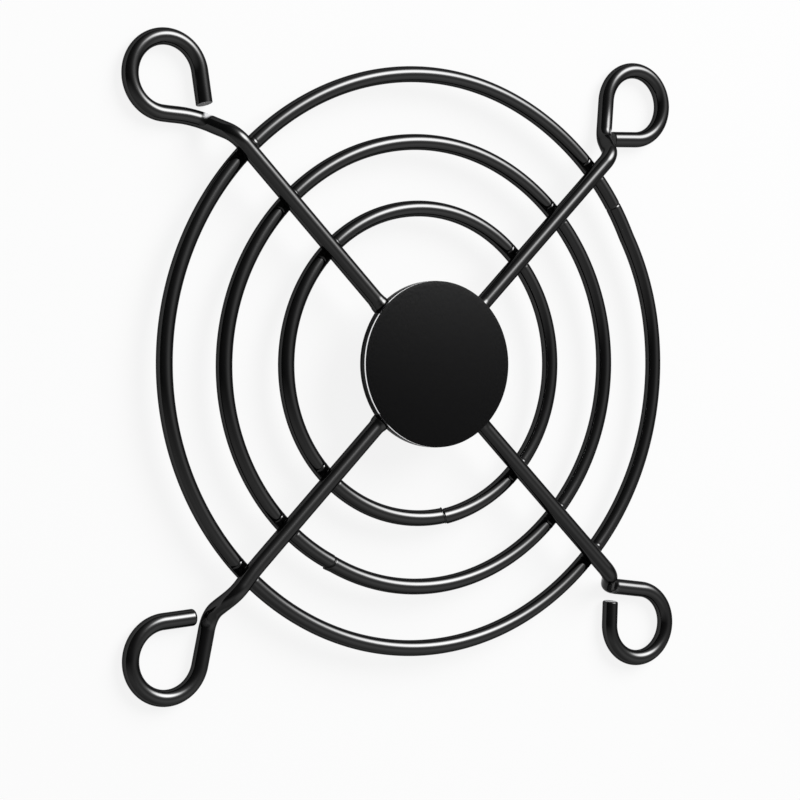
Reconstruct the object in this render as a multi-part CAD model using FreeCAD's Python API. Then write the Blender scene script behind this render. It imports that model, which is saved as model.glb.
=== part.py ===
import FreeCAD, Part
import math
import os

V = FreeCAD.Vector
UP = V(0, 0, 1)

# Welded wire finger guard, in millimetres. It lies flat on the undersides of its four screw loops
# at Z = 0, with its front towards +Z and its hub on the Z axis. Round wire throughout.
HOLE_SPACING = 50.0          # centre to centre of neighbouring screw loops
RING_WIRE = 1.43             # wire diameter of the rings
ARM_WIRE = 1.46              # wire diameter of the arms
RING_OVERHANG = 0.95         # outer ring's middle beyond the middle of each side of the hole square
OUTER_RING_STEP = 5.8        # from the outer ring in to the middle one
INNER_RING_STEP = 6.05       # from the middle ring in to the inner one
RING_RISE = 1.28             # rings' middle above the loops' middle
WELD_BITE = 0.06             # how far an arm sinks into each ring that it crosses

# Arms: straight out, down a sloping crank, along to the loop, round it and into a short tail
ARM_INNER_END = 2.0          # distance from the hub's axis at which the hidden ends stop
CRANK_RUN = 2.2              # sloping part of the crank, seen from the front
CRANK_TURN = 14.0            # degrees that the slope turns aside
FIRST_BEND_RADIUS = 2.1
SECOND_BEND_RADIUS = 1.5
LEAD_RUN = 4.0               # from the crank's foot to the loop
LEAD_TURN = 37.5             # degrees between the arm and the run to the loop
LOOP_RADIUS = 3.32           # screw loop, to the middle of the wire
LOOP_TURN = 259.0            # degrees of the loop that are bent
TAIL_GAP = 0.7               # between the straight end after the loop and the run to the loop
END_BEVEL = 0.10             # worn rim of the cut end
NICK_RADIUS = 0.30           # mark of the cutter beside each cut end
NICK_DEPTH = 0.09

# Hub
DISC_RADIUS = 7.5
DISC_THICKNESS = 0.8
DISC_SINK = 0.3              # how far the arms are let into the back of the disc, at the middle
DISC_ROUND = 0.08            # rounding of the disc's rims
HUB_TILT = 1.0               # degrees that the hub leans as welded, its +X side forward
PLATE_INSET = 0.02           # plate's rim inside the disc's
PLATE_THICKNESS = 0.25
PLATE_BEVEL = 0.04

# Butt seams of the rings
SEAM_RUN = 9.0               # length of the end on either side of a butt seam that leaves the circle
GROOVE_WIDTH = 0.12          # fine groove left at the seam
GROOVE_DEPTH = 0.06

# What follows from these: ring radii, and heights of the wires' middles and of the hub's faces
OUTER_RING_RADIUS = HOLE_SPACING / 2 + RING_OVERHANG
MIDDLE_RING_RADIUS = OUTER_RING_RADIUS - OUTER_RING_STEP
INNER_RING_RADIUS = MIDDLE_RING_RADIUS - INNER_RING_STEP
LOOP_LEVEL = ARM_WIRE / 2
RING_LEVEL = LOOP_LEVEL + RING_RISE
ARM_LEVEL = RING_LEVEL + (RING_WIRE + ARM_WIRE) / 2 - WELD_BITE
DISC_BACK = ARM_LEVEL + ARM_WIRE / 2 - DISC_SINK
DISC_FRONT = DISC_BACK + DISC_THICKNESS

# Each arm as bent: corner of the square, then what its bending adds to the nominal shape: the loop's
# shift in X and Y, crank turn, lead turn, lead run, loop turn and tail gap. Turns are in degrees, and
# lengths in diameters of the arm's wire.
ARMS = {
    "arm_top_right": ((1, 1), (-0.1, 0.03), 3, 3.5, -0.27, 4, -0.3),
    "arm_top_left": ((-1, 1), (-0.03, -0.14), -4, 1, 0.03, -4.5, 0.16),
    "arm_bottom_left": ((-1, -1), (-0.07, -0.31), 8, -4.5, 0.2, -5.5, -0.1),
    "arm_bottom_right": ((1, -1), (0.2, -0.03), -8, -0.5, -0.03, 5.5, 0.0),
}

# Each ring as welded: radius, centre, seam's angle, how far the ends before and after the seam
# stand outside the circle, and the groove's slant across the wire
RINGS = {
    "outer_ring": (OUTER_RING_RADIUS, (0.2, 0.2), 28.5, -0.12, -0.12, 0.0),
    "middle_ring": (MIDDLE_RING_RADIUS, (0.1, 0.0), 239.0, -0.06, 0.0, 8.0),
    "inner_ring": (INNER_RING_RADIUS, (0.05, 0.05), 279.5, -0.06, 0.03, 35.0),
}


def heading(degrees):
    return V(math.cos(math.radians(degrees)), math.sin(math.radians(degrees)), 0)


def save(shape, node):
    shape.exportStep("parts/" + node + ".step")


# Edges of a wire through these corners, straight between them, with a tangent arc in each
def bent_edges(corners, radii):
    edges = []
    last = corners[0]
    for before, corner, after, radius in zip(corners, corners[1:], corners[2:], radii):
        into = (corner - before).normalize()
        out = (after - corner).normalize()
        turn = into.getAngle(out)
        cut = radius * math.tan(turn / 2)
        start = corner - into * cut
        end = corner + out * cut
        inward = (out - into).normalize()
        middle = corner + inward * (radius / math.cos(turn / 2) - radius)
        edges += [Part.makeLine(last, start), Part.Arc(start, middle, end).toShape()]
        last = end
    return edges + [Part.makeLine(last, corners[-1])]


# Edges of the arm's middle with its straight along +X, the run and crank beside the cut end, the
# cut end's tip, and the direction in which the arm puts its loop on the hole
def arm_path(hole, crank_turn, lead_turn, lead_run, loop_turn, tail_gap):
    lead = heading(lead_turn)
    side = heading(lead_turn - 90)
    reach_on = heading(crank_turn) * CRANK_RUN + lead * lead_run + side * LOOP_RADIUS
    reach = math.sqrt(hole.Length ** 2 - reach_on.y ** 2)
    angle = math.degrees(math.atan2(hole.y, hole.x) - math.atan2(reach_on.y, reach))
    top = V(reach - reach_on.x, 0, ARM_LEVEL)
    foot = top + heading(crank_turn) * CRANK_RUN
    foot.z = LOOP_LEVEL
    loop_start = foot + lead * lead_run
    corners = [V(ARM_INNER_END, 0, ARM_LEVEL), top, foot, loop_start]
    edges = bent_edges(corners, [FIRST_BEND_RADIUS, SECOND_BEND_RADIUS])
    centre = loop_start + side * LOOP_RADIUS

    def on_loop(degrees):
        return centre - heading(lead_turn - 90 - degrees) * LOOP_RADIUS

    loop_end = on_loop(loop_turn)
    tail_run = -LOOP_RADIUS * math.tan(math.radians(loop_turn) / 2) - ARM_WIRE / 2 - tail_gap
    tip = loop_end + heading(lead_turn - loop_turn) * tail_run
    loop = Part.Arc(loop_start, on_loop(loop_turn / 2), loop_end)
    return edges + [loop.toShape(), Part.makeLine(loop_end, tip)], edges[1:], tip, angle


# Small round-bottomed mark across the wire, opposite the cut end
def cutter_nick(beside, tip):
    gap, pairs, info = Part.makeCompound(beside).distToShape(Part.Vertex(tip))
    point = pairs[0][0]
    edge = min(beside, key=lambda e: e.distToShape(Part.Vertex(point))[0])
    along = edge.tangentAt(edge.Curve.parameter(point))
    across = along.cross(UP).normalize()
    if across.dot(tip - point) < 0:
        across = across * -1
    lift = (across + UP * 0.8).normalize()
    axis = along.cross(lift).normalize()
    middle = point + lift * (ARM_WIRE / 2 + NICK_RADIUS - NICK_DEPTH)
    return Part.makeCylinder(NICK_RADIUS, 2 * ARM_WIRE, middle - axis * ARM_WIRE, axis)


def arm(corner, shift, crank_turn, lead_turn, lead_run, loop_turn, tail_gap):
    hole = V(corner[0], corner[1], 0) * (HOLE_SPACING / 2) + V(shift[0], shift[1], 0) * ARM_WIRE
    path, beside, tip, angle = arm_path(
        hole, CRANK_TURN + crank_turn, LEAD_TURN + lead_turn, LEAD_RUN + lead_run * ARM_WIRE,
        LOOP_TURN + loop_turn, TAIL_GAP + tail_gap * ARM_WIRE)
    section = Part.makeCircle(ARM_WIRE / 2, path[0].Vertexes[0].Point, V(1, 0, 0))
    wire = Part.Wire(path).makePipeShell([Part.Wire(section)], True, False)
    rim = min(wire.Edges, key=lambda e: (e.CenterOfMass - tip).Length)
    wire = wire.makeChamfer(END_BEVEL, [rim])
    wire = wire.cut(cutter_nick(beside, tip))
    wire.rotate(V(0, 0, 0), UP, angle)
    straight = Part.makeCylinder(ARM_WIRE / 2, path[0].Length, path[0].Vertexes[0].Point, V(1, 0, 0))
    straight.rotate(V(0, 0, 0), UP, angle)
    return wire, straight


# Block across the wire at a seam, turned with the wire and slanted, from low to high along it
def seam_block(point, along, slant, low, high):
    block = Part.makeBox(high - low, 6 * RING_WIRE, 2 * RING_WIRE)
    block.translate(V(low, -3 * RING_WIRE, -RING_WIRE))
    block.rotate(V(0, 0, 0), UP, math.degrees(math.atan2(along.y, along.x)) + slant)
    block.translate(point)
    return block


# Thin slab across the wire that leaves its core, so that it cuts only a groove
def seam_groove(point, along, slant):
    slab = seam_block(point, along, slant, -GROOVE_WIDTH / 2, GROOVE_WIDTH / 2)
    core = Part.makeCylinder(RING_WIRE / 2 - GROOVE_DEPTH, 8 * RING_WIRE, point - along * 4 * RING_WIRE, along)
    return slab.cut(core)


def ring(radius, centre, seam, before, after, slant):
    middle = V(centre[0], centre[1], RING_LEVEL)

    def section(angle):
        rim = Part.makeCircle(RING_WIRE / 2, middle + heading(angle) * radius, heading(angle + 90))
        return Part.Face(Part.Wire(rim))

    span = math.degrees(SEAM_RUN / radius)
    joint = middle + heading(seam) * (radius + (before + after) / 2)
    along = heading(seam + 90)
    pieces = [section(seam + span).revolve(middle, UP, 360 - 2 * span)]
    for side, stand_out in ((-1, before), (1, after)):
        end_radius = 1 / (1 / radius - 2 * stand_out / SEAM_RUN ** 2)
        start = seam + side * span
        pivot = middle + heading(start) * (radius - end_radius)
        sweep = math.degrees((SEAM_RUN + RING_WIRE) / end_radius)
        end = section(start).revolve(pivot, UP * -side, sweep)
        low, high = (0, 3 * RING_WIRE) if side < 0 else (-3 * RING_WIRE, 0)
        pieces.append(end.cut(seam_block(joint, along, slant, low, high)))
    body = pieces[0].fuse(pieces[1:])
    return body.cut(seam_groove(joint, along, slant))


# Round plate on the hub's axis, and its rims from the lower to the upper
def hub_round(radius, thickness, base):
    plate = Part.makeCylinder(radius, thickness, V(0, 0, base))
    rims = [e for e in plate.Edges if isinstance(e.Curve, Part.Circle)]
    return plate, sorted(rims, key=lambda e: e.CenterOfMass.z)


def leaned(shape):
    shape.rotate(V(0, 0, DISC_BACK), V(0, -1, 0), HUB_TILT)
    return shape


os.makedirs("parts", exist_ok=True)

straights = []
for node, values in ARMS.items():
    wire, straight = arm(*values)
    straights.append(straight)
    save(wire, node)

for node, values in RINGS.items():
    save(ring(*values).cut(straights), node)

disc, rims = hub_round(DISC_RADIUS, DISC_THICKNESS, DISC_BACK)
save(leaned(disc.makeFillet(DISC_ROUND, rims)).cut(straights), "hub_disc")

plate, rims = hub_round(DISC_RADIUS - PLATE_INSET, PLATE_THICKNESS, DISC_FRONT)
save(leaned(plate.makeChamfer(PLATE_BEVEL, rims[-1:])), "hub_plate")
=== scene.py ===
import bpy
import math
import numpy as np
from mathutils import Matrix, Vector


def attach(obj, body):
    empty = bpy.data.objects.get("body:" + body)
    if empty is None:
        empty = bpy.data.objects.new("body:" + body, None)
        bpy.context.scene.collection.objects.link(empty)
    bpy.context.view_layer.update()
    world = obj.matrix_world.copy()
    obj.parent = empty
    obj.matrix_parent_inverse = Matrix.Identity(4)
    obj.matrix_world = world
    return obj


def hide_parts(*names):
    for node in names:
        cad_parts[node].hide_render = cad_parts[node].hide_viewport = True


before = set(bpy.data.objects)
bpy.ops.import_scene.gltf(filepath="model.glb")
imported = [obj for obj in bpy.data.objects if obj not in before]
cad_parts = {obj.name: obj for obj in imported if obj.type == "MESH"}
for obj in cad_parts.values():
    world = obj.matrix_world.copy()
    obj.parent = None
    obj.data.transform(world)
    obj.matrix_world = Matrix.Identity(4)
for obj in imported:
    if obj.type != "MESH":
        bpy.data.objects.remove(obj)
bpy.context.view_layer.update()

mm = 0.001      # shapes are worked out in millimetres, as in the CAD source, and become metres in the mesh
print("frame loaded")


# The camera looks down on the guard from its front left
camera = {
    "turn": 31.12,                  # degrees from the guard's front towards its left
    "tilt": 0.64,                   # degrees above its middle
    "roll": -0.03,                  # degrees
    "distance": 217.15,
    "lens": 107.54,
    "sensor": 36,                   # its width
    "frameSize": 800,               # pixels
    "hubPixel": (421.92, 364.29),   # where the rings' middle lies in the picture
}


def makeCamera(c, height):
    turn, tilt, roll = (math.radians(c[k]) for k in ("turn", "tilt", "roll"))
    back = Vector((-math.sin(turn) * math.cos(tilt), math.sin(tilt), math.cos(turn) * math.cos(tilt)))
    level = Vector((0, 1, 0)).cross(back).normalized()
    upright = back.cross(level)
    right = level * math.cos(roll) + upright * math.sin(roll)
    up = upright * math.cos(roll) - level * math.sin(roll)
    perPixel = c["distance"] * c["sensor"] / (c["lens"] * c["frameSize"])
    aside = (c["hubPixel"][0] - c["frameSize"] / 2) * perPixel
    below = (c["hubPixel"][1] - c["frameSize"] / 2) * perPixel
    place = Vector((0, 0, height)) + back * c["distance"] - right * aside + up * below
    data = bpy.data.cameras.new("camera")
    data.lens = c["lens"]
    data.sensor_width = c["sensor"]
    data.clip_start, data.clip_end = 0.01, 10
    eye = bpy.data.objects.new("camera", data)
    eye.matrix_world = Matrix.Translation(place * mm) @ Matrix((right, up, back)).transposed().to_4x4()
    bpy.context.scene.collection.objects.link(eye)
    bpy.context.scene.camera = eye
    return np.array(place)


# What all the wires share
wires = {
    "ringWire": 1.46,
    "armWire": 1.49,
    "ringRise": 1.28,        # rings' middle above the loops' middle
    "weldBite": 0.09,        # how far an arm sinks into each ring
    "around": 44,            # faces round a wire
}
loopLevel = wires["armWire"] / 2
ringLevel = loopLevel + wires["ringRise"]
armLevel = ringLevel + (wires["ringWire"] + wires["armWire"]) / 2 - wires["weldBite"]
eyePlace = makeCamera(camera, ringLevel)
print("camera placed")


def newMaterial(name):
    m = bpy.data.materials.new(name)
    m.use_nodes = True
    return m, m.node_tree.nodes, m.node_tree.links, m.node_tree.nodes["Principled BSDF"]


def paintLook(p):
    m, nodes, links, shader = newMaterial("blackPaint")
    shader.inputs["Roughness"].default_value = p["roughness"]
    slope = nodes.new("ShaderNodeLayerWeight")
    slope.inputs["Blend"].default_value = 0.5       # with it, facing is 1 minus the cosine
    gloss = nodes.new("ShaderNodeMapRange")
    gloss.inputs["From Max"].default_value = 1 - math.cos(math.radians(p["edgeFrom"]))
    gloss.inputs["To Min"].default_value = p["specular"]
    gloss.inputs["To Max"].default_value = p["specularAtEdge"]
    links.new(slope.outputs["Facing"], gloss.inputs["Value"])
    links.new(gloss.outputs["Result"], shader.inputs["Specular IOR Level"])
    where = nodes.new("ShaderNodeTexCoord")
    peel = nodes.new("ShaderNodeTexNoise")
    peel.inputs["Scale"].default_value = 1 / (p["peelSize"] * mm)
    peel.inputs["Detail"].default_value = 2
    links.new(where.outputs["Object"], peel.inputs["Vector"])
    lift = nodes.new("ShaderNodeBump")
    lift.inputs["Distance"].default_value = p["peelDepth"] * mm
    lift.inputs["Strength"].default_value = 1
    links.new(peel.outputs["Fac"], lift.inputs["Height"])
    links.new(lift.outputs["Normal"], shader.inputs["Normal"])
    # lighter where the attribute says: scuffed paint at the cutter's marks, and on the cut ends' faces partly
    # bare metal, partly a painted reflection
    bareAndSheen = nodes.new("ShaderNodeAttribute")
    bareAndSheen.attribute_name = "bareAndSheen"
    colour = nodes.new("ShaderNodeMix")
    colour.data_type = "RGBA"
    colour.inputs["A"].default_value = p["coat"] + (1,)
    colour.inputs["B"].default_value = p["scuffedAndSheen"] + (1,)
    links.new(bareAndSheen.outputs["Fac"], colour.inputs["Factor"])
    links.new(colour.outputs["Result"], shader.inputs["Base Color"])
    return m


paint = {
    "coat": (0.0015, 0.0015, 0.0016),
    # colour of scuffed paint, also laid on the cut ends' faces, where it is partly a painted reflection
    "scuffedAndSheen": (0.60, 0.60, 0.61),
    "roughness": 0.10,
    "specular": 0.6,
    "specularAtEdge": 0.01,    # lower, because this black coat is duller seen aslant
    "edgeFrom": 62,            # degrees between view and normal from which it is that low
    "peelSize": 0.16,          # the paint's skin isn't quite smooth
    "peelDepth": 0.0009,
}
blackPaint = paintLook(paint)


# Points along a length, a coarse step apart, and a fine step apart within reach of each spot
def pointsAlong(length, coarse, fine, spots, reach):
    s = np.linspace(0, length, 20001)       # closer together than any fine step
    near = np.zeros_like(s)
    for spot in spots:
        near = np.maximum(near, np.exp(-((s - spot) / reach) ** 4))
    density = 1 / coarse + near * (1 / fine - 1 / coarse)
    count = np.concatenate([[0], np.cumsum((density[1:] + density[:-1]) / 2 * np.diff(s))])
    return np.interp(np.linspace(0, count[-1], int(math.ceil(count[-1])) + 1), count, s)


# Mesh of a grid of points, rows along the piece and columns round it, joined end to end or closed by two flat
# ends. Its last argument says how bare or scuffed each point is, and how much a painted reflection lightens
# it.
def gridMesh(name, grid, joined, bareAndSheen=None):
    rows, cols = grid.shape[:2]
    index = np.arange(rows * cols).reshape(rows, cols)
    nextCol = np.roll(index, -1, 1)
    if joined:
        nextRow, nextBoth = np.roll(index, -1, 0), np.roll(nextCol, -1, 0)
    else:
        nextRow, nextBoth = index[1:], nextCol[1:]
        index, nextCol = index[:-1], nextCol[:-1]
    quads = np.stack([index, nextRow, nextBoth, nextCol], -1).reshape(-1, 4)
    ends = [] if joined else [np.arange(cols), np.arange(cols)[::-1] + (rows - 1) * cols]
    corners = np.concatenate([quads.ravel()] + ends).astype(np.int32)
    totals = np.concatenate([np.full(len(quads), 4), np.full(len(ends), cols)]).astype(np.int32)
    starts = np.concatenate([[0], np.cumsum(totals)[:-1]]).astype(np.int32)
    mesh = bpy.data.meshes.new(name)
    mesh.vertices.add(rows * cols)
    mesh.vertices.foreach_set("co", (grid * mm).astype(np.float32).ravel())
    mesh.loops.add(len(corners))
    mesh.loops.foreach_set("vertex_index", corners)
    mesh.polygons.add(len(totals))
    mesh.polygons.foreach_set("loop_start", starts)
    smooth = np.ones(len(totals), bool)
    smooth[len(quads):] = False
    mesh.polygons.foreach_set("use_smooth", smooth)
    if bareAndSheen is not None:
        layer = mesh.attributes.new("bareAndSheen", "FLOAT", "POINT")
        layer.data.foreach_set("value", bareAndSheen.astype(np.float32).ravel())
    mesh.update()
    mesh.validate()
    return mesh


def makePiece(name, mesh, material, node):
    mesh.materials.append(material)
    obj = bpy.data.objects.new(name, mesh)
    bpy.context.scene.collection.objects.link(obj)
    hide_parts(node)
    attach(obj, "root")


def bump(distance, width):
    return np.exp(-(distance / width) ** 2)


# Each ring: its circle, how far it is out of round in 2, 3 and 4 lobes and where each lobe lies, its butt
# seam, where it leaves the round beside the seam and how far before and after that, the seam's depth, its
# slant across the ring and in depth, how far it hooks back outside, and the burr inside and lip outside
rings = {
    "outer_ring": dict(radius=25.98, centre=(0.216, 0.216), lobes=(0.065, 0.053, 0.037), turns=(56, -43, -2),
                       seam=35.1, leaves=28.5, before=-0.207, after=-0.182, groove=0.6, slant=0.0,
                       cant=0.0, hook=0.0, burr=0.0, lip=0.0),
    "middle_ring": dict(radius=20.17, centre=(0.124, -0.021), lobes=(0.069, 0.016, 0.035), turns=(37, -55, 7),
                        seam=241.4, leaves=241.4, before=-0.10, after=-0.055, groove=1.0, slant=0.0,
                        cant=0.0, hook=0.5, burr=0.0, lip=0.08),
    "inner_ring": dict(radius=14.08, centre=(0.054, 0.05), lobes=(0.026, 0.026, 0.023), turns=(52, -37, 41),
                       seam=279.5, leaves=279.1, before=-0.009, after=0.097, groove=1.2, slant=8.0,
                       cant=-27.0, hook=0.0, burr=0.16, lip=0.0),
}
ringDetail = {
    "coarse": 0.5,           # steps along the wire
    "fine": 0.036,
    "fineReach": 1.8,        # from a seam or arm
    "lobeCounts": (2, 3, 4),
    "seamRun": 9.0,          # length of the end on either side of the seam that leaves the circle
    "seamJump": 0.012,       # length in which one end gives way to the other
    "leanReach": 1.5,        # from the seam, where the rows of points still lean with it
    "grooveWidth": 0.07,
    "grooveDepth": 0.07,
    "burrLength": 0.25,
    "lipLength": 0.8,
    "flashStandOff": 0.95,   # from the arm's middle to the crest of the flash
    "flashWidth": 0.08,
    "flashHeight": 0.011,
    "flashBehind": 0.35,     # sine of how far the flash reaches behind the ring's middle
    "flashWander": 0.05,     # how uneven its stand-off is
    "flashWaves": 5,         # of that, round the wire
    "neckStandOff": 1.12,    # shallow neck outside the flash
    "neckWidth": 0.08,
    "neckDepth": 0.008,
}


# A circle swept by a round section. Along it, distance from the seam; round it, angle from the outer side
# over the front. Cosine lobes put it out of round, the ends by the seam leave it by a parabola, and the
# seam itself leans.
def ringGrid(r, d):
    length = 2 * math.pi * r["radius"]
    crossings = [((a - r["seam"]) % 360) / 360 * length for a in armAngles]
    along = pointsAlong(length, d["coarse"], d["fine"], [0, length] + crossings, d["fineReach"])[:-1]
    around = np.arange(wires["around"]) * 2 * math.pi / wires["around"]
    s, a = np.meshgrid(along, around, indexing="ij")
    s = np.where(s > length / 2, s - length, s)
    half = wires["ringWire"] / 2
    outside = np.clip(np.cos(a), 0, 1) ** 2
    inside = np.clip(-np.cos(a), 0, 1) ** 2
    slant, cant = math.tan(math.radians(r["slant"])), math.tan(math.radians(r["cant"]))
    lean = half * (slant * np.cos(a) + cant * np.sin(a)) - r["hook"] * outside
    fromLeaving = s + math.radians(r["seam"] - r["leaves"]) * r["radius"]
    side = 1 / (1 + np.exp(np.clip(-fromLeaving / d["seamJump"], -60, 60)))     # 0 before there, 1 after
    s = s + lean * bump(s, d["leanReach"])
    left = np.clip(1 - np.abs(fromLeaving) / d["seamRun"], 0, 1) ** 2
    off = left * (r["before"] * (1 - side) + r["after"] * side)
    turn = math.radians(r["seam"]) + s / r["radius"]
    for count, lobe, where in zip(d["lobeCounts"], r["lobes"], r["turns"]):
        off = off + lobe * np.cos(count * (turn - math.radians(where)))
    past = s - lean
    section = half - r["groove"] * d["grooveDepth"] * bump(past, d["grooveWidth"])
    section += r["burr"] * inside * np.clip(1 + past / d["burrLength"], 0, 1) * (past < 0)
    section += r["lip"] * outside * np.clip(1 - past / d["lipLength"], 0, 1) * (past > 0)
    front = np.sqrt(np.clip(np.sin(a) + d["flashBehind"], 0, None))
    for i, crossing in enumerate(crossings):
        away = np.abs((s - crossing + length / 2) % length - length / 2)
        away += d["flashWander"] * np.sin(d["flashWaves"] * a + 7 * i)      # another phase at each arm
        section += front * d["flashHeight"] * bump(away - d["flashStandOff"], d["flashWidth"])
        section -= front * d["neckDepth"] * bump(away - d["neckStandOff"], d["neckWidth"])
    out = r["radius"] + off + section * np.cos(a)
    return np.stack([r["centre"][0] + out * np.cos(turn), r["centre"][1] + out * np.sin(turn),
                     ringLevel + section * np.sin(a)], -1)


# Each arm as bent: its corner of the square and its hole's shift from there, what its bending adds to the
# nominal turns and runs, and its two bend radii. Then how bare the cutter's mark is and how far on from the
# place nearest to the cut end, how much lighter that end's face is, part bare and part a painted reflection,
# how slanted and rounded that end is, and how high the collar by the hub.
# Each sway is where along the arm, over what width, and how far sideways. Each lift is the same forwards,
# towards the camera, so that the wire keeps its place in the picture.
arms = {
    "arm_top_right": dict(corner=(1, 1), shift=(-0.15, 0.05), crankTurn=3, leadTurn=3.5, leadRun=-0.4,
                          loopTurn=4, tailRun=0.15, bends=(2.1, 1.5), nick=0.25, nickAt=0.0, cutEndBareAndSheen=0.1,
                          cutSlant=0.0, cutRound=0.1, collar=0.3, sways=(), lifts=((31.2, 2.0, 0.38),)),
    "arm_top_left": dict(corner=(-1, 1), shift=(-0.05, -0.2), crankTurn=-4, leadTurn=1, leadRun=0.05,
                         loopTurn=-4.5, tailRun=0.38, bends=(2.1, 1.5), nick=0.8, nickAt=-0.5, cutEndBareAndSheen=0.35,
                         cutSlant=0.3, cutRound=0.06, collar=0.5, sways=((32.8, 1.6, 0.14),), lifts=()),
    "arm_bottom_left": dict(corner=(-1, -1), shift=(-0.1, -0.45), crankTurn=8, leadTurn=-4.5, leadRun=0.3,
                            loopTurn=-5.5, tailRun=0.43, bends=(2.3, 2.6), nick=0.05, nickAt=0.0, cutEndBareAndSheen=0.0,
                            cutSlant=0.0, cutRound=0.3, collar=0.0,
                            sways=((27.6, 1.5, -0.17), (30.8, 1.2, 0.07)), lifts=()),
    "arm_bottom_right": dict(corner=(1, -1), shift=(0.3, -0.05), crankTurn=-8, leadTurn=-0.5, leadRun=-0.05,
                             loopTurn=5.5, tailRun=-0.35, bends=(2.1, 1.5), nick=0.08, nickAt=0.0,
                             cutEndBareAndSheen=0.35, cutSlant=0.1, cutRound=0.2, collar=0.3, sways=(), lifts=()),
}
armShape = {
    "holeSpacing": 50.0,
    "innerEnd": 2.0,
    "crankRun": 2.2,
    "crankTurn": 14.0,
    "leadRun": 4.0,
    "leadTurn": 37.5,
    "loopRadius": 3.32,
    "loopTurn": 259.0,
    "tailRun": 2.6,
    "step": 0.11,            # between points along the wire
    "cutStep": 0.03,         # the same by the cut end
    "cutRun": 0.4,           # length that has it
    "flareAt": 7.75,         # from the hub's axis, where the arm swells into the disc's weld
    "flareWidth": 0.075,
    "flareHeight": 0.10,
    "collarAt": 7.95,        # ridge before that swelling
    "collarHeight": 0.05,
    "collarWidth": 0.14,
    "loopLength": 12.0,      # at the wire's end, where nothing passes the cut end
    "nickDepth": 0.06,
    "nickWidth": 0.38,
    "nickForwards": 0.9,     # how far forwards the mark faces for each part that it faces the cut end
    "nickFade": (2.0, 0.4),  # gain and cut-off, which give the mark a clear edge
    "cutDepth": 0.35,        # length of the wire over which a slanted cut end is drawn back
    "cutFullness": 0.98,     # how nearly the rounded rim turns flat at the end
}


def heading(degrees):
    return np.array([math.cos(math.radians(degrees)), math.sin(math.radians(degrees)), 0.0])


# Points of a wire through these corners, straight between them, with a tangent arc in each
def bentPoints(corners, radii, step):
    runs = []
    last = corners[0]
    for before, corner, after, radius in zip(corners, corners[1:], corners[2:], radii):
        into = (corner - before) / np.linalg.norm(corner - before)
        out = (after - corner) / np.linalg.norm(after - corner)
        turn = math.acos(np.clip(into @ out, -1, 1))
        cut = radius * math.tan(turn / 2)
        start = corner - into * cut
        inward = out - into * (into @ out)
        inward /= np.linalg.norm(inward)
        steps = max(4, int(radius * turn / step))
        bend = np.linspace(0, turn, steps + 1)[:, None]
        runs.append(straightPoints(last, start, step))
        runs.append(start + into * radius * np.sin(bend) + inward * radius * (1 - np.cos(bend)))
        last = runs[-1][-1]
    runs.append(straightPoints(last, corners[-1], step))
    return np.concatenate([runs[0]] + [r[1:] for r in runs[1:]])


def straightPoints(start, end, step):
    steps = max(2, int(np.linalg.norm(end - start) / step))
    return start + (end - start) * np.linspace(0, 1, steps + 1)[:, None]


# The arm's middle: out along the straight, down the crank, along the lead, round the loop, into the tail
def armMiddle(a, d):
    hole = np.array([a["corner"][i] * d["holeSpacing"] / 2 + a["shift"][i] for i in (0, 1)])
    leadTurn = d["leadTurn"] + a["leadTurn"]
    crank = heading(d["crankTurn"] + a["crankTurn"]) * d["crankRun"]
    lead = heading(leadTurn) * (d["leadRun"] + a["leadRun"])
    reachOn = crank + lead + heading(leadTurn - 90) * d["loopRadius"]
    reach = math.sqrt(hole @ hole - reachOn[1] ** 2)
    turn = math.atan2(hole[1], hole[0]) - math.atan2(reachOn[1], reach)
    top = np.array([reach - reachOn[0], 0, armLevel])
    foot = top + crank
    foot[2] = loopLevel
    loopStart = foot + lead
    corners = [np.array([d["innerEnd"], 0, armLevel]), top, foot, loopStart]
    bent = bentPoints(corners, a["bends"], d["step"])
    centre = loopStart + heading(leadTurn - 90) * d["loopRadius"]
    loopTurn = d["loopTurn"] + a["loopTurn"]
    turned = np.linspace(0, loopTurn, int(math.radians(loopTurn) * d["loopRadius"] / d["step"]))
    at = np.radians(leadTurn + 90 - turned)[:, None]
    loop = centre + d["loopRadius"] * np.concatenate([np.cos(at), np.sin(at), 0 * at], 1)
    tip = loop[-1] + heading(leadTurn - loopTurn) * (d["tailRun"] + a["tailRun"])
    nearTip = tip - heading(leadTurn - loopTurn) * d["cutRun"]
    middle = np.concatenate([bent, loop[1:], straightPoints(loop[-1], nearTip, d["step"])[1:],
                             straightPoints(nearTip, tip, d["cutStep"])[1:]])
    c, s = math.cos(turn), math.sin(turn)
    return middle @ np.array([[c, s, 0], [-s, c, 0], [0, 0, 1]]), turn


# Directions onward, to the side and over, along a wire's middle
def directions(middle):
    onward = np.gradient(middle, axis=0)
    onward /= np.linalg.norm(onward, axis=1, keepdims=True)
    side = np.cross(onward, [0, 0, 1])
    side /= np.linalg.norm(side, axis=1, keepdims=True)
    return onward, side, np.cross(side, onward)


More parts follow.
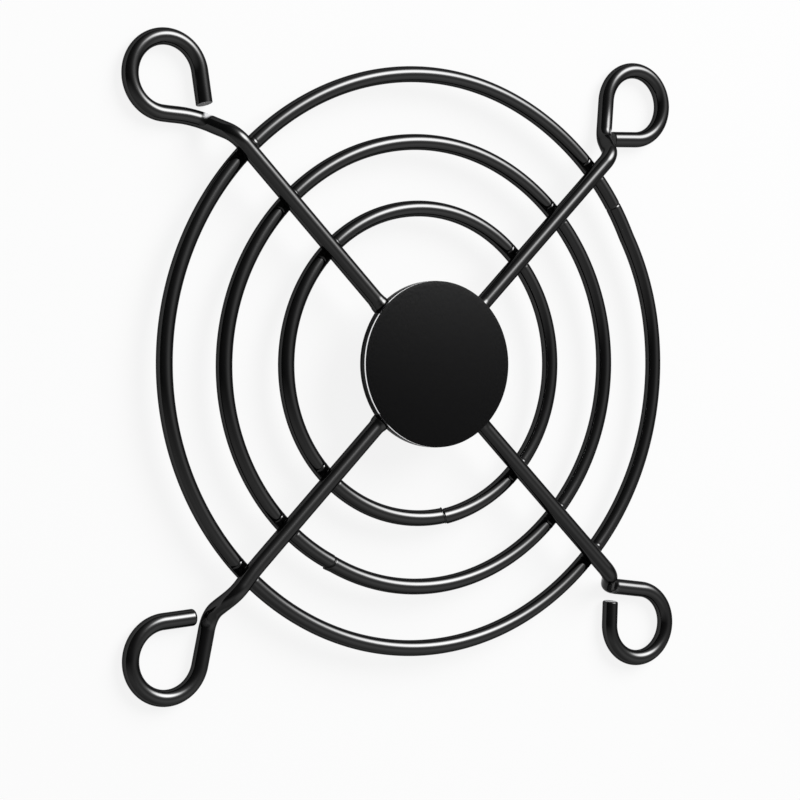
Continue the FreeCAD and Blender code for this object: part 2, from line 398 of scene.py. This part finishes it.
# A round section carried along the arm's middle. Its reference side stays level, so it doesn't twist.
def armGrid(a, d):
    middle, turn = armMiddle(a, d)
    s = np.concatenate([[0], np.cumsum(np.linalg.norm(np.diff(middle, axis=0), axis=1))])
    fromAxis = s + d["innerEnd"]
    side = directions(middle)[1]
    for place, width, sideways in a["sways"]:
        middle = middle + (sideways * bump(fromAxis - place, width))[:, None] * side
    for place, width, forwards in a["lifts"]:
        towardsEye = eyePlace - middle
        towardsEye /= towardsEye[:, 2:]
        middle = middle + (forwards * bump(fromAxis - place, width))[:, None] * towardsEye
    onward, side, over = directions(middle)
    around = np.arange(wires["around"]) * 2 * math.pi / wires["around"]
    section = np.full((len(s), len(around)), wires["armWire"] / 2)
    section += (d["flareHeight"] / (1 + np.exp((fromAxis - d["flareAt"]) / d["flareWidth"])))[:, None]
    section += (a["collar"] * d["collarHeight"] * bump(fromAxis - d["collarAt"], d["collarWidth"]))[:, None]
    # the cutter's mark lies where the arm passes the cut end
    passing = middle[s < s[-1] - d["loopLength"]]
    i = int(np.argmin(np.linalg.norm(passing - middle[-1], axis=1)))
    towardsTip = (middle[-1] - middle[i]) @ side[i]
    markWay = math.atan2(d["nickForwards"] * abs(towardsTip), towardsTip)
    markRound = np.clip(np.cos(around - markWay), 0, 1) ** 4
    gain, cutOff = d["nickFade"]
    mark = np.clip(gain * bump(s - s[i] - a["nickAt"], d["nickWidth"])[:, None] * markRound - cutOff, 0, 1)
    section -= d["nickDepth"] * mark
    bareAndSheen = a["nick"] * mark
    # the cut end's face is coloured lighter: partly bare metal, partly a painted reflection of the light
    # falling on it
    bareAndSheen[-1] = a["cutEndBareAndSheen"]
    # the cut end's rounded rim
    inRim = np.clip(1 - (s[-1] - s) / a["cutRound"], 0, 1)
    section -= a["cutRound"] * (1 - np.sqrt(1 - d["cutFullness"] * inRim ** 2))[:, None]
    grid = middle[:, None] + section[..., None] * (np.cos(around)[None, :, None] * side[:, None]
                                                   + np.sin(around)[None, :, None] * over[:, None])
    drawn = np.clip(1 - (s[-1] - s) / d["cutDepth"], 0, 1)[:, None] * (1 + np.sin(around)) / 2
    grid -= a["cutSlant"] * drawn[..., None] * onward[:, None]
    return grid, bareAndSheen, math.degrees(turn)


armAngles = []      # degrees, as each arm is made
for node, values in arms.items():
    grid, bareAndSheen, angle = armGrid(values, armShape)
    armAngles.append(angle)
    makePiece(node + "_painted", gridMesh(node, grid, False, bareAndSheen), blackPaint, node)
print("arms made")
for node, values in rings.items():
    mesh = gridMesh(node, ringGrid(values, ringDetail), True)
    makePiece(node + "_painted", mesh, blackPaint, node)
print("rings made")


# Hub: a painted disc with a thin brushed plate on it, both leaning a little as welded
hub = {
    "sink": 0.33,            # how far the arms are let into the disc's back
    "tilt": 1.0,             # degrees, its right side forward
    "around": 256,           # faces round its rim
    "faceRows": 23,          # points from the middle of a face to its rim
    "faceStart": 0.02,       # share of the radius at which they start, round a flat middle
    "rimRows": 9,            # points over a rounded rim
    "discRadius": 7.5,
    "discThickness": 0.8,
    "discRound": 0.08,
    "plateRadius": 7.48,
    "plateThickness": 0.25,
    "plateRound": 0.03,
    "plateDome": 3.2,        # degrees that the plate's face falls away at its rim
    "weldFill": 0.14,        # how much deeper paint and weld make the disc's wall beside an arm
    "weldFillTurn": 13.0,    # degrees
    "faceTint": (0.0006, 0.0006, 0.0007),
    "faceRoughness": 0.22,
    "faceSpecular": 0.10,
    "grainSize": (0.10, 0.30, 0.30),    # fine brush lines
    "grainDepth": 0.010,
    "edgeTint": (0.92, 0.92, 0.93),
    "edgeRoughness": 0.30,
    "edgeSpecular": 0.5,
}
discBack = armLevel + wires["armWire"] / 2 - hub["sink"]


# A round piece from the middle of its front, which is a shallow dome, over quarter-round rims to its back,
# leaning about the middle of the disc's back. Its own back lies lower by fill beside each arm.
def roundGrid(radius, thickness, rounding, base, dome, fill, h):
    face = np.linspace(h["faceStart"], 1, h["faceRows"] + 1)[:-1] * (radius - rounding)
    bend = np.linspace(0, math.pi / 2, h["rimRows"])
    out = radius - rounding + rounding * np.sin(bend)
    up = base + thickness - rounding + rounding * np.cos(bend)
    rise = math.tan(math.radians(dome)) / 2 * (radius - face ** 2 / radius)
    out = np.concatenate([face, out, out[::-1]])
    up = np.concatenate([base + thickness + rise, up, 2 * base + thickness - up[::-1]])
    at = np.arange(h["around"]) * 2 * math.pi / h["around"]
    x = out[:, None] * np.cos(at)
    y = out[:, None] * np.sin(at)
    z = np.repeat(up[:, None], len(at), 1)
    back = np.clip((base + thickness - z) / thickness, 0, 1)
    for angle in armAngles:
        beside = (np.degrees(at) - angle + 180) % 360 - 180
        z -= fill * back * bump(beside, h["weldFillTurn"])
    lean = math.radians(h["tilt"])
    return np.stack([x * math.cos(lean) - (z - discBack) * math.sin(lean), y,
                     discBack + x * math.sin(lean) + (z - discBack) * math.cos(lean)], -1)


def plateLook(h):
    m, nodes, links, shader = newMaterial("brushedPlate")
    edge = nodes.new("ShaderNodeAttribute")
    edge.attribute_name = "bareAndSheen"
    colour = nodes.new("ShaderNodeMix")
    colour.data_type = "RGBA"
    colour.inputs["A"].default_value = h["faceTint"] + (1,)
    colour.inputs["B"].default_value = h["edgeTint"] + (1,)
    links.new(edge.outputs["Fac"], colour.inputs["Factor"])
    links.new(colour.outputs["Result"], shader.inputs["Base Color"])
    links.new(edge.outputs["Fac"], shader.inputs["Metallic"])
    for socket, face, rim in (("Roughness", "faceRoughness", "edgeRoughness"),
                              ("Specular IOR Level", "faceSpecular", "edgeSpecular")):
        level = nodes.new("ShaderNodeMix")
        level.inputs["A"].default_value = h[face]
        level.inputs["B"].default_value = h[rim]
        links.new(edge.outputs["Fac"], level.inputs["Factor"])
        links.new(level.outputs["Result"], shader.inputs[socket])
    where = nodes.new("ShaderNodeTexCoord")
    stretch = nodes.new("ShaderNodeMapping")
    stretch.inputs["Scale"].default_value = [1 / (size * mm) for size in h["grainSize"]]
    grain = nodes.new("ShaderNodeTexNoise")
    grain.inputs["Scale"].default_value = 1
    grain.inputs["Detail"].default_value = 1
    lift = nodes.new("ShaderNodeBump")
    lift.inputs["Distance"].default_value = h["grainDepth"] * mm
    lift.inputs["Strength"].default_value = 1
    links.new(where.outputs["Object"], stretch.inputs["Vector"])
    links.new(stretch.outputs["Vector"], grain.inputs["Vector"])
    links.new(grain.outputs["Fac"], lift.inputs["Height"])
    links.new(lift.outputs["Normal"], shader.inputs["Normal"])
    return m


disc = roundGrid(hub["discRadius"], hub["discThickness"], hub["discRound"], discBack, 0, hub["weldFill"], hub)
makePiece("hub_disc_painted", gridMesh("hub_disc", disc, False, np.zeros(disc.shape[:2])), blackPaint,
          "hub_disc")
plate = roundGrid(hub["plateRadius"], hub["plateThickness"], hub["plateRound"],
                  discBack + hub["discThickness"], hub["plateDome"], 0, hub)
bareEdge = np.zeros(plate.shape[:2])
bareEdge[-hub["rimRows"] - 1:] = 1      # from the foot of the front's rounding on
makePiece("hub_plate_brushed", gridMesh("hub_plate", plate, False, bareEdge), plateLook(hub),
          "hub_plate")
print("hub made")


# Studio: a soft box at the upper right, a pale side below, a dark room at the upper left. Gloss sees the box
# as a glow that fades outwards, and a lamp of the same size gives its light and shadow.
studio = {
    "boxTowards": (0.516, 0.547, 0.659),
    "boxGlow": 24.0,
    "boxReach": (19.0, 14.0),    # degrees along it and across it in which the glow fades to three fifths
    "boxTurn": 10.0,         # degrees that its length leans up from level
    "haloGlow": 5.0,         # dimmer and wider, round the box
    "haloReach": 17.0,
    "lampDistance": 0.6,
    "lampSize": (0.46, 0.50),
    "lampRadiance": 17.0,    # at its middle
    "lampSpread": 90,        # degrees, as with a deep box: its edges are dimmer
    "tableTop": -0.08,       # y of the directions at which the pale side begins
    "tableEdge": 2.2,        # how quickly it brightens below that
    "tableLighter": (0.86, 0.0, 0.52),  # towards where it is lighter
    "tableLight": 0.19,      # halfway
    "tableSlope": 1.25,      # gain from there that way
    "tableLeast": 0.50,
    "roomLight": 0.055,
    "floorEdge": 20.0,       # how quickly gloss sees plain white under the level of the floor
    "ambient": 0.35,         # for diffuse light
    "backdrop": 0.90,        # as bright as the floor far off, so that no horizon shows
}


# A math node on values or on other nodes' outputs
def compute(tree, kind, a, b, clamp=False):
    n = tree.nodes.new("ShaderNodeMath")
    n.operation = kind
    n.use_clamp = clamp
    for i, v in enumerate((a, b)):
        if isinstance(v, (int, float)):
            n.inputs[i].default_value = v
        else:
            tree.links.new(v, n.inputs[i])
    return n.outputs[0]


def makeKey(s):
    width, height = s["lampSize"]
    light = bpy.data.lights.new("keyBox", "AREA")
    light.shape = "ELLIPSE"
    light.size, light.size_y = width, height
    light.spread = math.radians(s["lampSpread"])
    # a narrow spread gathers the light ahead, so less power gives the same radiance
    halfSpread = light.spread / 2
    gathered = math.tan(halfSpread) / (math.tan(halfSpread) - halfSpread)
    light.energy = s["lampRadiance"] * math.pi * (math.pi / 4 * width * height) / gathered
    lamp = bpy.data.objects.new("keyBox", light)
    towards = Vector(s["boxTowards"]).normalized()
    lamp.location = towards * s["lampDistance"]
    lamp.rotation_mode = "QUATERNION"
    lamp.rotation_quaternion = towards.to_track_quat("Z", "Y")
    lamp.visible_camera = lamp.visible_glossy = False
    bpy.context.scene.collection.objects.link(lamp)


def makeWorld(s):
    world = bpy.data.worlds.new("studio")
    bpy.context.scene.world = world
    world.use_nodes = True
    tree = world.node_tree
    nodes, links = tree.nodes, tree.links
    nodes.clear()
    out = nodes.new("ShaderNodeOutputWorld")
    sky = nodes.new("ShaderNodeBackground")
    links.new(sky.outputs[0], out.inputs["Surface"])
    coords = nodes.new("ShaderNodeTexCoord")
    split = nodes.new("ShaderNodeSeparateXYZ")
    links.new(coords.outputs["Generated"], split.inputs[0])

    def blend(f, a, b):
        return compute(tree, "ADD", compute(tree, "MULTIPLY", f, compute(tree, "SUBTRACT", b, a)), a)

    def along(direction):
        n = nodes.new("ShaderNodeVectorMath")
        n.operation = "DOT_PRODUCT"
        n.inputs[1].default_value = direction
        links.new(coords.outputs["Generated"], n.inputs[0])
        return n.outputs["Value"]

    onTable = compute(tree, "SUBTRACT", s["tableTop"], split.outputs["Y"])
    onTable = compute(tree, "MULTIPLY", onTable, s["tableEdge"], True)
    table = compute(tree, "MULTIPLY", along(s["tableLighter"]), s["tableSlope"])
    table = compute(tree, "MAXIMUM", compute(tree, "ADD", table, s["tableLight"]), s["tableLeast"])
    around = blend(onTable, s["roomLight"], table)
    middle = Vector(s["boxTowards"]).normalized()
    level = Vector((0, 1, 0)).cross(middle).normalized()
    upright = middle.cross(level)
    lean = math.radians(s["boxTurn"])
    length = level * math.cos(lean) + upright * math.sin(lean)
    fades = []
    for side, reach in zip((length, middle.cross(length)), s["boxReach"]):
        aside = compute(tree, "DIVIDE", along(side), math.sin(math.radians(reach)))
        fades.append(compute(tree, "MULTIPLY", aside, aside))
    far = compute(tree, "ADD", *fades)
    box = compute(tree, "POWER", math.exp(-0.5), compute(tree, "MULTIPLY", far, far))
    ahead = along(middle)
    aside = compute(tree, "SUBTRACT", 1.0, compute(tree, "MULTIPLY", ahead, ahead))
    halo = compute(tree, "POWER", math.exp(-0.5 / math.sin(math.radians(s["haloReach"])) ** 2), aside)
    glow = compute(tree, "ADD", compute(tree, "MULTIPLY", box, s["boxGlow"]),
                   compute(tree, "MULTIPLY", halo, s["haloGlow"]))
    glow = compute(tree, "MULTIPLY", glow, compute(tree, "GREATER_THAN", ahead, 0.0))
    below = compute(tree, "MULTIPLY", split.outputs["Z"], -s["floorEdge"], True)
    shown = blend(below, compute(tree, "ADD", around, glow), 1.0)
    path = nodes.new("ShaderNodeLightPath")
    seen = compute(tree, "MAXIMUM", path.outputs["Is Glossy Ray"], path.outputs["Is Transmission Ray"])
    lit = blend(seen, s["ambient"], shown)
    links.new(blend(path.outputs["Is Camera Ray"], lit, s["backdrop"]), sky.inputs["Strength"])
    sky.inputs["Color"].default_value = (1, 1, 1, 1)


# A pale table top. Much of its white is its own, as on a light table, so that shadows stay faint
floor = {
    "reach": 1.5,            # metres from its middle to its sides
    "colour": (0.55, 0.55, 0.55),
    "ownWhite": 0.87,
}


def makeFloor(f):
    corners = [(x * f["reach"], y * f["reach"], 0) for x, y in ((-1, -1), (1, -1), (1, 1), (-1, 1))]
    mesh = bpy.data.meshes.new("floor")
    mesh.from_pydata(corners, [], [(0, 1, 2, 3)])
    obj = bpy.data.objects.new("floor", mesh)
    bpy.context.scene.collection.objects.link(obj)
    m, nodes, links, shader = newMaterial("paleFloor")
    tree = m.node_tree
    nodes.remove(shader)
    top = nodes.new("ShaderNodeBsdfDiffuse")
    top.inputs["Color"].default_value = f["colour"] + (1,)
    white = nodes.new("ShaderNodeEmission")
    white.inputs["Strength"].default_value = 1
    path = nodes.new("ShaderNodeLightPath")
    seen = compute(tree, "MAXIMUM", path.outputs["Is Glossy Ray"], path.outputs["Is Transmission Ray"])
    seen = compute(tree, "MAXIMUM", seen, path.outputs["Is Camera Ray"])
    mixed = nodes.new("ShaderNodeMixShader")
    links.new(compute(tree, "MULTIPLY", seen, f["ownWhite"]), mixed.inputs[0])
    links.new(top.outputs[0], mixed.inputs[1])
    links.new(white.outputs[0], mixed.inputs[2])
    links.new(mixed.outputs[0], nodes["Material Output"].inputs["Surface"])
    mesh.materials.append(m)


makeKey(studio)
makeWorld(studio)
makeFloor(floor)
bpy.context.scene.view_settings.view_transform = "Standard"
print("studio lit")
